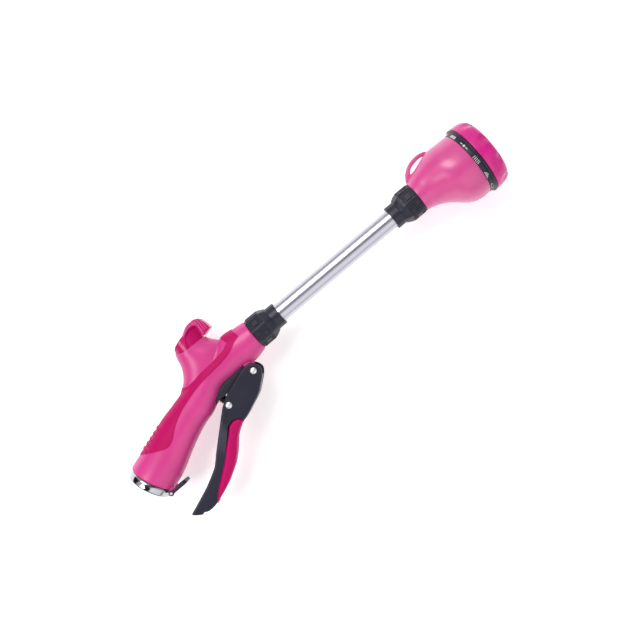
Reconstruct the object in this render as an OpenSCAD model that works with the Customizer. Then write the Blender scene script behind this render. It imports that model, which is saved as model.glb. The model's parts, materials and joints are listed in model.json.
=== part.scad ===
// Garden watering wand: hose inlet, squeeze valve, rotary flow knob, tube and a bell head with a pattern dial.
// Millimetres. Origin at the centre of the inlet mouth, +X along the tube, +Y to the thumb side.

/* [Inlet and handle] */
// Tilt of the inlet axis from the tube axis
inlet_tilt = 22; // [22:0.5:22]
// Outer radius of the metal inlet ring
ring_r = 18.5; // [18.2:0.1:18.6]
// Wall radius of the female hose thread
thread_r = 12.3; // [12.2:0.1:12.5]
// Depth of the hose thread
thread_depth = 16; // [15:0.5:17]
// Thickness of the soft palm pad
pad_t = 0.8; // [0.6:0.1:1.0]

/* [Wand tube] */
// Height of the tube axis over the inlet mouth
tube_y = 40; // [40:1:40]
// Outer radius of the tube
tube_r = 8; // [8:0.1:8]
// Wall of the tube
tube_wall = 1; // [0.8:0.1:1.2]
// Plane where the handle ends and the lower nut begins
neck_x = 146.4; // [146.4:0.1:146.4]
// Plane where the upper nut ends and the bell begins
bell_x = 320.5; // [320.5:0.1:320.5]
// Largest radius of the two nuts
nut_r = 13.7; // [13.4:0.1:13.9]

/* [Trigger] */
// Pivot of the trigger
pivot = [127.9, 17.6]; // [100:0.1:140]
// Push pin of the trigger at rest
push = [94.7, 9.0]; // [0:0.1:110]
// Half of the width over the trigger cheeks
lever_half = 10.6; // [10.4:0.1:11]
// Thickness of each trigger cheek
cheek_t = 2.0; // [1.6:0.1:2.1]
// Radius of the pivot pin
pin_r = 2.0; // [1.8:0.1:2.0]

/* [Flow knob] */
// Place of the knob axis along the tube
knob_x = 100.3; // [100.3:0.1:100.3]
// Radius of the knob
knob_r = 13.2; // [13:0.1:13.2]
// Height of the rim of the boss that the knob turns in
boss_rim_y = 64.7; // [64.7:0.1:64.7]

/* [Spray head] */
// Height of the head axis over the inlet mouth
head_y = 34; // [34:0.5:34]
// Number of spray patterns
patterns = 8; // [8:1:8]
// Outer radius of the dial
dial_r = 31; // [30.8:0.1:31.1]
// Plane where the bell ends
bell_end_x = 369.8; // [369.8:0.1:369.8]
// Front plane of the dial
dial_front_x = 389.5; // [389.5:0.1:389.5]

/* [Hidden] */
$fn = 64;

run_gap = 0.05;      // radial clearance of a running fit
free_gap = 0.3;      // clearance between moving neighbours
flow_r = 6;          // radius of the main water way
far = 200;           // longer than anything that it cuts

// valve axis: through the push pin, square to its arc
valve_dir = [-0.251, 0.968];
valve_angle = atan2(valve_dir[1], valve_dir[0]);
valve_bore_r = 5.2;
chamber_r = 4.8;
stem_r = 2;
stem_from = pin_r + free_gap;   // distance of the stem's end from the push pin's axis
gland_from = 8.5;
gland_to = 16;
seat_from = 25.3;
seat_to = 27.8;
chamber_to = 38.5;

spindle_r = 4.8;
spindle_from = 26;
spindle_to = 52;
flow_gate_y = 30;
gate_r = 2.6;
pocket_y = 60;

port_at = 15;        // distance of the patterns from the head axis
ball_at = 21.2;      // distance of the detent ball from the head axis

web_z = 7.2;
web_t = 2;
latch_at = [13.2, -15.7];
latch_len = 14;
latch_wire_r = 1.1;
latch_half = 9.4;

// ring rows of the handle: centre x, centre y, tilt, half height, half width
HANDLE = [[6.2, 3.3, 22, 18.1, 18.1], [7.4, 3.6, 22, 18.9, 18.4], [14, 5.5, 22, 19.4, 18.4],
    [25.3, 9.4, 22, 18.7, 17.9], [37.3, 14.4, 22, 17.4, 17.2], [50.2, 19.7, 22, 16.4, 16.6],
    [63.3, 23.8, 19, 15.2, 16.1], [76.3, 27.2, 14, 15, 15.8], [88, 31.8, 9, 13.8, 15.5],
    [99, 36.6, 5, 12.9, 15.3], [112, 38.2, 3, 13.8, 15.1], [125, 40, 1, 15.8, 14.9],
    [135, 38.9, 0, 15.9, 14.6], [neck_x, 39.5, 0, 13.9, 13.9]];
// ring rows of the boss: height, lowest x, highest x, half width
BOSS = [[40, 68, 127, 13], [44, 72.8, 126.5, 14.2], [48, 77.4, 125.5, 14.6], [53, 81, 123.5, 14.8],
    [57.4, 83.2, 120, 14.8], [61, 84.3, 116.4, 14.8], [64.7, 84.9, 114.7, 14.8], [69.6, 86.2, 114.7, 14.6]];
// ring rows of the bell: x, centre y, radius
BELL = [[bell_x, 39.8, 13.8], [323.5, 40.6, 14.6], [327.6, 41, 16.3], [331.7, 40.9, 17.6],
    [335.8, 40.7, 19.5], [339.9, 40, 21.5], [344, 38.9, 23.7], [348.1, 37.4, 26.1],
    [352.2, 36, 27.8], [356.3, 34.8, 28.6], [360.4, 34.2, 29], [364.5, head_y, 29.1], [bell_end_x, head_y, 28.8]];

// points of one ring, square to the row's own tilt
function ring_points(cx, cy, tilt, h, w, n) = [for (i = [0:n - 1]) let (a = 360 * i / n)
    [cx - h * cos(a) * sin(tilt), cy + h * cos(a) * cos(tilt), w * sin(a)]];
function flat_ring(y, x0, x1, w, n) = [for (i = [0:n - 1]) let (a = 360 * i / n)
    [(x0 + x1) / 2 + (x1 - x0) / 2 * cos(a), y, -w * sin(a)]];
// a closed skin over rings of n points each
module skin(rings, n) {
    m = len(rings);
    last = (m - 1) * n;
    walls = [for (k = [0:m - 2]) for (i = [0:n - 1]) let (j = (i + 1) % n)
        [k * n + i, (k + 1) * n + i, (k + 1) * n + j, k * n + j]];
    triangles = [for (w = walls) for (t = [[w[0], w[1], w[2]], [w[0], w[2], w[3]]]) t];
    ends = [for (i = [1:n - 2]) for (t = [[0, i, i + 1], [last, last + i + 1, last + i]]) t];
    polyhedron([for (r = rings) for (p = r) p], concat(triangles, ends), convexity = 6);
}
module handle_skin(grow, n) skin([for (r = HANDLE)
    ring_points(r[0], r[1], r[2], r[3] + grow, r[4] + grow, n)], n);

// a frame whose +Z runs up the inlet axis from the mouth
module on_inlet() rotate([0, 0, inlet_tilt]) rotate([0, 90, 0]) children();
// a frame whose +Z runs along the tube from x
module on_tube(x) translate([x, tube_y, 0]) rotate([0, 90, 0]) children();
module on_head(x) translate([x, head_y, 0]) rotate([0, 90, 0]) children();
// a frame whose +Z runs up the valve axis from the push pin
module on_valve(t) translate([push[0], push[1], 0]) rotate([0, 0, valve_angle]) rotate([0, 90, 0])
    translate([0, 0, t]) children();
// a frame whose +Z runs up the knob axis from height y
module on_knob(y) translate([knob_x, y, 0]) rotate([-90, 0, 0]) children();
module tube_of(outer, inner, h) difference() {
    cylinder(h = h, r = outer);
    translate([0, 0, -1]) cylinder(h = h + 2, r = inner);
}
module o_ring(major, minor) rotate_extrude() translate([major, 0]) circle(r = minor, $fn = 24);
module flat_plate(points, half) linear_extrude(height = 2 * half, center = true) polygon(points);

module boss() difference() {
    skin([for (r = BOSS) flat_ring(r[0], r[1], r[2], r[3], 48)], 48);
    // the rim is level, with a hood behind the knob
    flat_plate([[95.5, boss_rim_y], [130, boss_rim_y], [130, 75], [80, 75], [80, 69.4], [86.5, 69.4]], 30);
}

module handle_body() color("#e0549a") difference() {
    union() {
        handle_skin(0, 40);
        boss();
        // lug between the trigger cheeks
        hull() {
            translate([pivot[0], pivot[1], 0]) cylinder(h = 16, r = 5, center = true);
            translate([124, 30, 0]) cube([16, 4, 16], center = true);
        }
        // ears of the latch
        for (side = [-1, 1]) hull() {
            translate([latch_at[0], latch_at[1], side * 6]) cylinder(h = 3.6, r = 2, center = true);
            translate([18, -7, side * 6]) cube([8, 4, 3.6], center = true);
        }
        // webs that close the gap behind the trigger's cheeks
        for (side = [-1, 1]) translate([0, 0, side * web_z]) linear_extrude(height = web_t, center = true)
            polygon([[87, 19], [89, 17], [99, 17], [102, 16.6], [110, 18.8], [118, 20.6], [123, 21.5],
                [123, 28], [87, 28]]);
        on_tube(neck_x - 4) cylinder(h = 17.6, r = 10.2);
    }
    on_inlet() translate([0, 0, -5]) cylinder(h = 27.2, r = 15);
    on_inlet() translate([0, 0, -5]) cylinder(h = 11.9, r = 40);
    on_inlet() cylinder(h = 72, r = 7.5);
    translate([64, 25, 0]) rotate([0, 0, 38.7]) rotate([0, 90, 0]) cylinder(h = 29, r = 3.6);
    on_valve(2) cylinder(h = seat_to - 2, r = valve_bore_r);
    on_valve(20) cylinder(h = chamber_to - 20, r = chamber_r);
    on_valve(-3) cylinder(h = 14, r = 8);
    translate([89, flow_gate_y, 0]) rotate([0, 90, 0]) cylinder(h = 23, r = gate_r);
    translate([108, flow_gate_y, 0]) rotate([0, 0, 31]) rotate([0, 90, 0]) cylinder(h = 22, r = 3.4);
    on_tube(120) cylinder(h = 40, r = flow_r);
    on_tube(149) cylinder(h = 20, r = tube_r + run_gap);
    on_tube(157.4) cylinder(h = 4, r = 9.4);
    on_knob(spindle_from) cylinder(h = far, r = spindle_r + run_gap);
    on_knob(pocket_y) cylinder(h = far, r = knob_r + free_gap);
    translate([pivot[0], pivot[1], 0]) cylinder(h = 60, r = pin_r, center = true);
    translate([latch_at[0], latch_at[1], 0]) cylinder(h = 60, r = 1.05, center = true);
}

// side outline of the pad: wide behind the palm, a stripe along the boss, a flag at the neck
module palm_pad() color("#c2186a") intersection() {
    difference() {
        handle_skin(pad_t, 40);
        handle_skin(0, 40);
        boss();
    }
    flat_plate([[14.5, 24], [20.1, 21.4], [28.2, 17.6], [33.5, 15.1], [38.6, 14.6], [44.3, 17.5],
        [49.6, 21.9], [56.2, 26.2], [65.3, 30.6], [74, 33.4], [82.7, 36], [92.8, 37.6], [104.7, 38.8],
        [116.4, 40], [125.3, 42.2], [131.5, 45.2], [137.1, 46.9], [134, 62], [108, 70], [14.5, 60]], 40);
}

module inlet_ring() color("#c9ccd0") on_inlet() difference() {
    rotate_extrude() polygon([[thread_r, 0], [ring_r - 1.5, 0], [ring_r - 0.4, 0.5], [ring_r, 1.6],
        [ring_r, 5.4], [17.9, 6.3], [17.4, 6.9], [15, 6.9], [15, 22], [thread_r - 4, 22]]);
    translate([0, 0, -1]) cylinder(h = thread_depth, r = thread_r);
    // relief behind the thread, where the washer sits
    translate([0, 0, thread_depth - 2]) cylinder(h = 4, r = thread_r + 0.4);
    translate([0, 0, 10]) cylinder(h = 20, r = 9);
}

module hose_washer() color("#3a3a3c") on_inlet() translate([0, 0, 14.2]) tube_of(thread_r + 0.3, 9, 3);

module filter_screen() color("#b9bcc0") on_inlet() translate([0, 0, 17.2]) difference() {
    cylinder(h = 0.8, r = thread_r + 0.3);
    for (row = [1:4]) for (i = [0:6 * row - 1]) rotate([0, 0, 60 * i / row])
        translate([1.9 * row, 0, -1]) cylinder(h = 3, r = 0.6, $fn = 16);
}

module latch_loop() color("#2d2e36") translate([latch_at[0], latch_at[1], 0]) {
    difference() {
        union() {
            for (side = [-1, 1]) {
                translate([0, 0, side * latch_half]) cylinder(h = 2.2, r = 2.1, center = true);
                translate([0, 0, side * latch_half]) rotate([0, 90, 0])
                    cylinder(h = latch_len, r = latch_wire_r - 0.1, $fn = 24);
            }
            translate([latch_len, 0, 0]) cylinder(h = 2 * latch_half + 2.2, r = latch_wire_r, center = true);
        }
        cylinder(h = 60, r = 1.05, center = true);
    }
}

module latch_pin() color("#8e9096") translate([latch_at[0], latch_at[1], 0])
    cylinder(h = 2 * latch_half + 3, r = 1, center = true);

module gland_nut() color("#b08d3c") on_valve(gland_from) difference() {
    union() {
        cylinder(h = 2.4, r = 6.6, $fn = 6);
        cylinder(h = gland_to - gland_from, r = valve_bore_r);
    }
    translate([0, 0, -1]) cylinder(h = 20, r = stem_r + run_gap);
}

module stem_o_ring() color("#232326") on_valve(gland_to + 1.5) o_ring(3.6, 1.5);

module valve_plunger() color("#c7a552") on_valve(0) {
    translate([0, 0, stem_from]) cylinder(h = seat_to - stem_from, r = stem_r);
    translate([0, 0, seat_to + 2]) cylinder(h = 1.6, r = 4.2);
    translate([0, 0, seat_to - 0.01]) cylinder(h = 5.2, r = 1.6);
}

module valve_seal() color("#232326") on_valve(seat_to) tube_of(4.4, 1.6, 2);

module valve_seat() color("#b08d3c") on_valve(seat_from) tube_of(valve_bore_r, 3.5, seat_to - seat_from);

// a coil of square-set rings joined by one post, as long as the room over the plunger
module coil(r, wire, pitch, turns) {
    for (k = [0:turns - 1]) translate([0, 0, wire + k * pitch]) rotate_extrude()
        translate([r, 0]) circle(r = wire, $fn = 16);
    translate([r, 0, wire]) cylinder(h = (turns - 1) * pitch, r = wire * 0.8, $fn = 16);
}
module valve_spring() color("#9a9ca2") on_valve(seat_to + 3.6) coil(3.2, 0.5, 1.5, 5);

module knob_outline() polygon([[86.6, pocket_y + free_gap], [114.2, pocket_y + free_gap], [114.2, 65],
    [123.3, 67.2], [122.6, 72.5], [121.6, 77], [120, 79.8], [117, 81.4], [113.5, 81.6], [110, 80.9],
    [106.5, 79], [102.9, 75.9], [95.5, 74.2], [90.6, 72.6], [88, 71], [87.1, 69]]);
module thumb_knob() color("#c2186a") difference() {
    intersection() {
        linear_extrude(height = 40, center = true) knob_outline();
        union() {
            on_knob(0) cylinder(h = far, r = knob_r);
            // the tab is higher than the rim everywhere outside the knob's own circle
            translate([0, 65.05, 0]) hull() {
                on_knob(0) cylinder(h = 20, r = 9.5);
                on_knob(0) translate([14.9, 0, 0]) cylinder(h = 20, r = 8.2);
            }
        }
    }
    on_knob(0) cylinder(h = 69, r = 3.2);
    on_knob(0) cylinder(h = far, r = 1.5);
    on_knob(73) cylinder(h = far, r = 3.2);
    on_knob(0) cylinder(h = pocket_y + 3.5, r = 5.4);
}

module knob_screw() color("#8e9096") {
    on_knob(62) cylinder(h = 11, r = 1.5);
    on_knob(73) cylinder(h = 1.4, r = 2.9);
}

module flow_spindle() color("#d8d3c4") difference() {
    union() {
        on_knob(spindle_from + 0.2) cylinder(h = spindle_to - spindle_from - 0.2, r = spindle_r);
        on_knob(spindle_to) cylinder(h = 68.6 - spindle_to, r = 3.2);
    }
    translate([80, flow_gate_y, 0]) rotate([0, 90, 0]) cylinder(h = 40, r = gate_r);
    on_knob(62) cylinder(h = 20, r = 1.5);
    on_knob(44) tube_of(8, 3.6, 2.2);
}

module spindle_bush() color("#3a3a3c") on_knob(spindle_to + 0.1) {
    tube_of(spindle_r, 3.2 + run_gap, pocket_y + 3 - spindle_to);
}

module spindle_o_ring() color("#232326") on_knob(45.1) o_ring(4.2, 0.6);

// side outline of the whole trigger, from the nose round the outer edge to the tip and back
function lever_outline() = [[134.5, 16.4], [133.8, 13.8], [130, 9], [125.2, 5.3], [120.3, 1.2],
    [114.4, -1.6], [108, -4.1], [101.8, -6.8], [96.3, -8.4], [91.5, -9.6], [83.2, -15],
    [75, -24.2], [67.6, -30.8], [61, -34.9], [52.9, -39.5], [44.7, -42.9], [36.5, -45.7],
    [31.6, -46.8], [25.8, -46.8], [22.5, -44.7], [20.9, -45.8], [17.6, -43.9], [12.7, -39.8],
    [20, -37.3], [28.3, -34], [36.5, -30.8], [44.7, -26.7], [52.9, -22.1], [61.1, -14],
    [69.3, -6.6], [77.5, 0.4], [84, 6.2], [89.5, 11.1], [96.9, 15.8], [102, 17.7], [110.3, 20.1],
    [118, 21.9], [124, 22.9], [129, 22.9], [132.4, 20.8]];
function grip_inner() = [[35.4, -47], [42.1, -39.1], [51.7, -31.6], [61.3, -24.2], [71.2, -15],
    [78.8, -8.1], [84.6, -3], [90.6, -2.5], [94.6, -4.6], [97, -7.4], [94, -20], [60, -60]];

module trigger_lever() color("#33343d") difference() {
    flat_plate(lever_outline(), lever_half);
    // inside of the channel, open towards the handle
    linear_extrude(height = 2 * (lever_half - cheek_t), center = true)
        polygon([[140, 11], [131, 10.6], [124, 7.6], [113.5, 1.2], [101, -3.4], [88, -6],
            [80, -3], [84, 12], [100, 30], [140, 30]]);
    // the tail is narrower than the cheeks
    for (side = [-1, 1]) translate([0, 0, side * (lever_half + 10)]) linear_extrude(height = 26.6, center = true)
        polygon([[-10, -60], [60, -60], [72, -20], [58, -10], [30, -20], [-10, -30]]);
    linear_extrude(height = 60, center = true) polygon(grip_inner());
    translate([pivot[0], pivot[1], 0]) cylinder(h = 60, r = pin_r + run_gap, center = true);
    translate([push[0], push[1], 0]) cylinder(h = 60, r = pin_r, center = true);
}

module trigger_grip() color("#cc1f6e") intersection() {
    flat_plate(lever_outline(), 9.6);
    linear_extrude(height = 60, center = true) polygon(grip_inner());
}

module rivet(p, half) translate([p[0], p[1], 0]) {
    cylinder(h = 2 * half, r = pin_r, center = true);
    for (side = [0, 180]) rotate([side, 0, 0]) translate([0, 0, half])
        rotate_extrude() polygon([[0, 0], [2.9, 0], [2.7, 0.5], [1.8, 0.9], [0, 1]]);
}
module trigger_pivot_pin() color("#d5d7da") rivet(pivot, lever_half + run_gap);
module push_pin() color("#d5d7da") rivet(push, lever_half);

// nut in its own frame: the wide end at 0, the collar at the far end
module nut() {
    difference() {
        union() {
            rotate_extrude() polygon([[9, 0], [nut_r - 0.5, 0], [nut_r - 0.5, 14], [nut_r - 1, 14.8],
                [11, 18.8], [10.2, 18.8], [10.2, 27], [9, 27]]);
            for (i = [0:7]) rotate([0, 0, 45 * i]) intersection() {
                translate([nut_r - 3, -2.2, 0.8]) cube([3, 4.4, 13.6]);
                cylinder(h = 20, r = nut_r);
            }
        }
        translate([0, 0, -1]) cylinder(h = 15, r = 10.25);
        translate([0, 0, 13.9]) cylinder(h = 10.4, r1 = 9.75, r2 = 9.05);
        translate([0, 0, 13]) cylinder(h = 20, r = tube_r + 0.3);
    }
}
// split collet that the nut's taper squeezes on the tube
module collet() difference() {
    cylinder(h = 9.4, r1 = 9.65, r2 = 9.05);
    translate([0, 0, -1]) cylinder(h = 20, r = tube_r);
    for (i = [0:3]) rotate([0, 0, 90 * i + 45]) translate([0, -0.5, 1.5]) cube([20, 1, 20]);
}

module lower_nut() color("#33343d") on_tube(neck_x + 0.1) nut();
module lower_collet() color("#e8e6df") on_tube(neck_x + 14.1) collet();
module lower_o_ring() color("#232326") on_tube(158.5) o_ring(tube_r + 0.7, 0.7);
module wand_tube() color("#c9ccd0") on_tube(149.2) tube_of(tube_r, tube_r - tube_wall, 168.6);
module upper_nut() color("#33343d") on_tube(bell_x - 0.1) mirror([0, 0, 1]) nut();
module upper_collet() color("#e8e6df") on_tube(bell_x - 14.1) mirror([0, 0, 1]) collet();
module upper_o_ring() color("#232326") on_tube(308.4) o_ring(tube_r + 0.7, 0.7);

module head_bell() color("#e0549a") difference() {
    union() {
        skin([for (r = BELL) ring_points(r[0], r[1], 0, r[2], r[2], 56)], 56);
        on_tube(307) cylinder(h = 20, r = 10.2);
        // hanging loop over the shoulder
        flat_plate([[321, 46], [321, 54.4], [322, 55.2], [325.1, 58.8], [328, 62], [331, 64.4], [335, 66.2],
            [340, 66.4], [345.6, 65], [350, 63], [350, 46]], 3);
    }
    flat_plate([[326.2, 57.4], [328.2, 59.8], [331, 62.4], [335, 64.2], [340, 64.6], [344.6, 63.8],
        [344.6, 62.6], [340, 60.9], [335.8, 59.7], [331.7, 58.2], [327.6, 56.9]], 40);
    on_tube(300) cylinder(h = 18, r = tube_r + run_gap);
    on_tube(300) cylinder(h = 9.6, r = 9.4);
    on_tube(310) cylinder(h = 36, r = flow_r);
    on_head(345) cylinder(h = 11.1, r1 = 11, r2 = 24.5);
    on_head(356) cylinder(h = 30, r = 26);
}

module manifold_plate() color("#d8d3c4") difference() {
    union() {
        on_head(360) cylinder(h = 8, r = 25.95);
        on_head(354) cylinder(h = 8, r = 7);
    }
    on_head(340) cylinder(h = 60, r = 3);
    translate([350, head_y + port_at, 0]) rotate([0, 90, 0]) cylinder(h = 30, r = 4);
    translate([366, head_y + port_at, 0]) rotate([0, 90, 0]) cylinder(h = 30, r = 6.2);
    translate([361.5, head_y - ball_at, 0]) rotate([0, 90, 0]) cylinder(h = 30, r = 1.55);
}

module port_seal() color("#232326") translate([366, head_y + port_at, 0]) rotate([0, 90, 0]) tube_of(6.15, 4, 2.3);

module index_band() color("#2d2e36") on_head(bell_end_x + 0.05) rotate_extrude()
    polygon([[25, 0], [28.8, 0], [29, 0.3], [29, 3.3], [31.2, 3.7], [31.2, 5.2], [30.6, 5.7], [25, 5.7]]);

// dial outline with one soft lobe between each pair of grip notches
function lobes(r, depth, count, n) = [for (i = [0:n - 1]) let (a = 360 * i / n)
    [(r - depth * pow(abs(cos(a * count / 2)), 6)) * cos(a), (r - depth * pow(abs(cos(a * count / 2)), 6)) * sin(a)]];
module dial_ring() color("#b8166a") difference() {
    intersection() {
        on_head(375.9) linear_extrude(height = dial_front_x - 375.9) polygon(lobes(dial_r, 1.5, 2 * patterns, 192));
        on_head(0) rotate_extrude() polygon([[24, 375.9], [30.4, 375.9], [dial_r, 377], [dial_r, 381],
            [29.6, 387], [28.4, 389], [27.6, dial_front_x], [24, dial_front_x]]);
    }
    on_head(370) cylinder(h = 40, r = 24.6);
}

// the eight patterns, each about its own centre
module jet_holes(k) {
    if (k == 0) cylinder(h = 40, r = 2.2);
    if (k == 1) for (i = [0:7]) rotate([0, 0, 45 * i]) translate([3, 0, 0]) cylinder(h = 40, r = 0.5, $fn = 16);
    if (k == 2) translate([-0.6, -3.6, 0]) cube([1.2, 7.2, 40]);
    if (k == 3) for (row = [0:2]) for (i = [0:max(0, 6 * row - 1)])
        rotate([0, 0, 360 * i / max(1, 6 * row)]) translate([1.45 * row, 0, 0]) cylinder(h = 40, r = 0.45, $fn = 16);
    if (k == 4) for (i = [0:2]) rotate([0, 0, 120 * i]) translate([1.9, 0, 0]) cylinder(h = 40, r = 0.7, $fn = 16);
    if (k == 5) difference() {
        tube_of(3.2, 2.4, 40);
        translate([-0.5, -5, -1]) cube([1, 10, 42]);
    }
    if (k == 6) for (a = [0, 90]) rotate([0, 0, a]) translate([-3.4, -0.5, 0]) cube([6.8, 1, 40]);
    if (k == 7) for (x = [-2, 0, 2]) for (y = [-2, 0, 2]) translate([x, y, 0])
        cylinder(h = 40, r = 0.55, $fn = 16);
}
module spray_face() color("#4a4b55") difference() {
    union() {
        on_head(368.4) cylinder(h = 17.6, r = 24.55);
        on_head(385.9) cylinder(h = 1.6, r = 22);
    }
    for (k = [0:patterns - 1]) on_head(384.5) rotate([0, 0, 360 * k / patterns + 180]) translate([port_at, 0, 0]) jet_holes(k);
    // water chambers behind the patterns, and the track of the detent ball
    for (k = [0:patterns - 1]) on_head(367) rotate([0, 0, 360 * k / patterns + 180]) {
        translate([port_at, 0, 0]) cylinder(h = 17.8, r = 3.8);
        translate([ball_at, 0, 0]) cylinder(h = 2.9, r = 1.3);
    }
    on_head(367) tube_of(ball_at + 1.6, ball_at - 1.6, 2.4);
    on_head(360) cylinder(h = 60, r = 3.05);
    on_head(387) cylinder(h = 60, r = 6.5);
}

module dial_screw() color("#c9ccd0") {
    on_head(356) cylinder(h = 31.6, r = 3);
    on_head(387.6) rotate_extrude() polygon([[0, 0], [6, 0], [6, 0.8], [5, 1.6], [0, 1.8]]);
}

module detent_ball() color("#c9ccd0") translate([367.2, head_y - ball_at, 0]) sphere(r = 1.5);
module detent_spring() color("#9a9ca2") translate([361.6, head_y - ball_at, 0]) rotate([0, 90, 0]) coil(1.1, 0.25, 0.9, 5);

handle_body();
palm_pad();
inlet_ring();
hose_washer();
filter_screen();
latch_loop();
latch_pin();
gland_nut();
stem_o_ring();
valve_plunger();
valve_seal();
valve_seat();
valve_spring();
thumb_knob();
knob_screw();
flow_spindle();
spindle_bush();
spindle_o_ring();
trigger_lever();
trigger_grip();
trigger_pivot_pin();
push_pin();
lower_nut();
lower_collet();
lower_o_ring();
wand_tube();
upper_nut();
upper_collet();
upper_o_ring();
head_bell();
manifold_plate();
port_seal();
index_band();
dial_ring();
spray_face();
dial_screw();
detent_ball();
detent_spring();
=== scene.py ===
"""A garden watering wand: smooth shells, grips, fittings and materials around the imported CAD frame."""
import json
import math

import bmesh
import bpy
import numpy as np
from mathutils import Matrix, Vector


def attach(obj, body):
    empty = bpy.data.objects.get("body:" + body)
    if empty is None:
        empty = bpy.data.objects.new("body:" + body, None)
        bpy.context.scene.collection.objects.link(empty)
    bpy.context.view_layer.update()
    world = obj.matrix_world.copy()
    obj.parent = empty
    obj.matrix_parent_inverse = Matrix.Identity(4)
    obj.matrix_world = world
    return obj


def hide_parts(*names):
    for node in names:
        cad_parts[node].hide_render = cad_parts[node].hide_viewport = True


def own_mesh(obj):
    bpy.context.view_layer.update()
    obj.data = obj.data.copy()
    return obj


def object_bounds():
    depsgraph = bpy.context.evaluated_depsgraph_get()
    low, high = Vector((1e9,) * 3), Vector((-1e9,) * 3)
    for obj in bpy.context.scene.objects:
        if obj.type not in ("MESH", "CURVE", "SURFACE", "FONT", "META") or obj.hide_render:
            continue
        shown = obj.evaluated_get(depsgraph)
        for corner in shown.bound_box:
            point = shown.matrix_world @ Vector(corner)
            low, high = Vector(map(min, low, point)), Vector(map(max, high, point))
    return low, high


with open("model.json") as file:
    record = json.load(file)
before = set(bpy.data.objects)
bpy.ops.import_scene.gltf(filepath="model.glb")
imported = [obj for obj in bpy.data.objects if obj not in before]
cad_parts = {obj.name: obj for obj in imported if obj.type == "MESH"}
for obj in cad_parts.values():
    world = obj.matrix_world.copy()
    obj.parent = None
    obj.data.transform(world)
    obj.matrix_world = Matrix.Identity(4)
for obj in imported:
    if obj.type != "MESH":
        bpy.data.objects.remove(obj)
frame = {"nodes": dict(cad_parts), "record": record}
cad_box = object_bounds()

MM = 0.001
TUBE_Y = 40.0           # height of the tube's axis over the inlet mouth, mm
HEAD_Y = 34.0           # height of the spray head's axis
KNOB_X = 100.3          # place of the flow knob's axis
INLET_TILT = math.radians(22)
VALVE = (-0.251, 0.968)  # direction of the valve stem, from the trigger into the handle
PIVOT = (127.9, 17.6)    # the trigger's upper rivet
PUSH = (94.7, 9.0)       # its lower rivet, which pushes the valve stem
LATCH = (13.2, -15.7)    # the latch's pin
BOTH_SIDES = (("near", 1), ("far", -1))


# ---------------------------------------------------------------- materials
def link(node_tree, a, b):
    node_tree.links.new(a, b)


def material(name, color, dark, rough, rough_var=0.06, metallic=0.0, grain=0.02, grain_scale=900.0,
             blotch_scale=45.0, coat=0.0, coat_rough=0.1, specular=0.5, stretch=(1, 1, 1)):
    """A moulded or turned surface: blotches of colour, uneven gloss and a fine grain in the bump."""
    mat = bpy.data.materials.new(name)
    mat.use_nodes = True
    tree = mat.node_tree
    tree.nodes.clear()
    out = tree.nodes.new("ShaderNodeOutputMaterial")
    bsdf = tree.nodes.new("ShaderNodeBsdfPrincipled")
    link(tree, bsdf.outputs["BSDF"], out.inputs["Surface"])
    coords = tree.nodes.new("ShaderNodeTexCoord")
    place = tree.nodes.new("ShaderNodeMapping")
    place.inputs["Scale"].default_value = stretch
    link(tree, coords.outputs["Object"], place.inputs["Vector"])

    blotch = tree.nodes.new("ShaderNodeTexNoise")
    blotch.inputs["Scale"].default_value = blotch_scale
    blotch.inputs["Detail"].default_value = 3
    link(tree, place.outputs["Vector"], blotch.inputs["Vector"])
    tint = tree.nodes.new("ShaderNodeValToRGB")
    tint.color_ramp.elements[0].position = 0.3
    tint.color_ramp.elements[0].color = (*dark, 1)
    tint.color_ramp.elements[1].position = 0.7
    tint.color_ramp.elements[1].color = (*color, 1)
    link(tree, blotch.outputs["Fac"], tint.inputs["Fac"])
    link(tree, tint.outputs["Color"], bsdf.inputs["Base Color"])

    smear = tree.nodes.new("ShaderNodeTexNoise")
    smear.inputs["Scale"].default_value = blotch_scale * 3.1
    smear.inputs["Detail"].default_value = 4
    link(tree, place.outputs["Vector"], smear.inputs["Vector"])
    gloss = tree.nodes.new("ShaderNodeMapRange")
    gloss.inputs["To Min"].default_value = max(0.02, rough - rough_var)
    gloss.inputs["To Max"].default_value = rough + rough_var
    link(tree, smear.outputs["Fac"], gloss.inputs["Value"])
    link(tree, gloss.outputs["Result"], bsdf.inputs["Roughness"])

    fine = tree.nodes.new("ShaderNodeTexNoise")
    fine.inputs["Scale"].default_value = grain_scale
    fine.inputs["Detail"].default_value = 2
    link(tree, place.outputs["Vector"], fine.inputs["Vector"])
    bump = tree.nodes.new("ShaderNodeBump")
    bump.inputs["Strength"].default_value = grain
    bump.inputs["Distance"].default_value = 0.0004
    link(tree, fine.outputs["Fac"], bump.inputs["Height"])
    link(tree, bump.outputs["Normal"], bsdf.inputs["Normal"])

    bsdf.inputs["Metallic"].default_value = metallic
    bsdf.inputs["Coat Weight"].default_value = coat
    bsdf.inputs["Coat Roughness"].default_value = coat_rough
    bsdf.inputs["Specular IOR Level"].default_value = specular
    return mat


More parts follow.
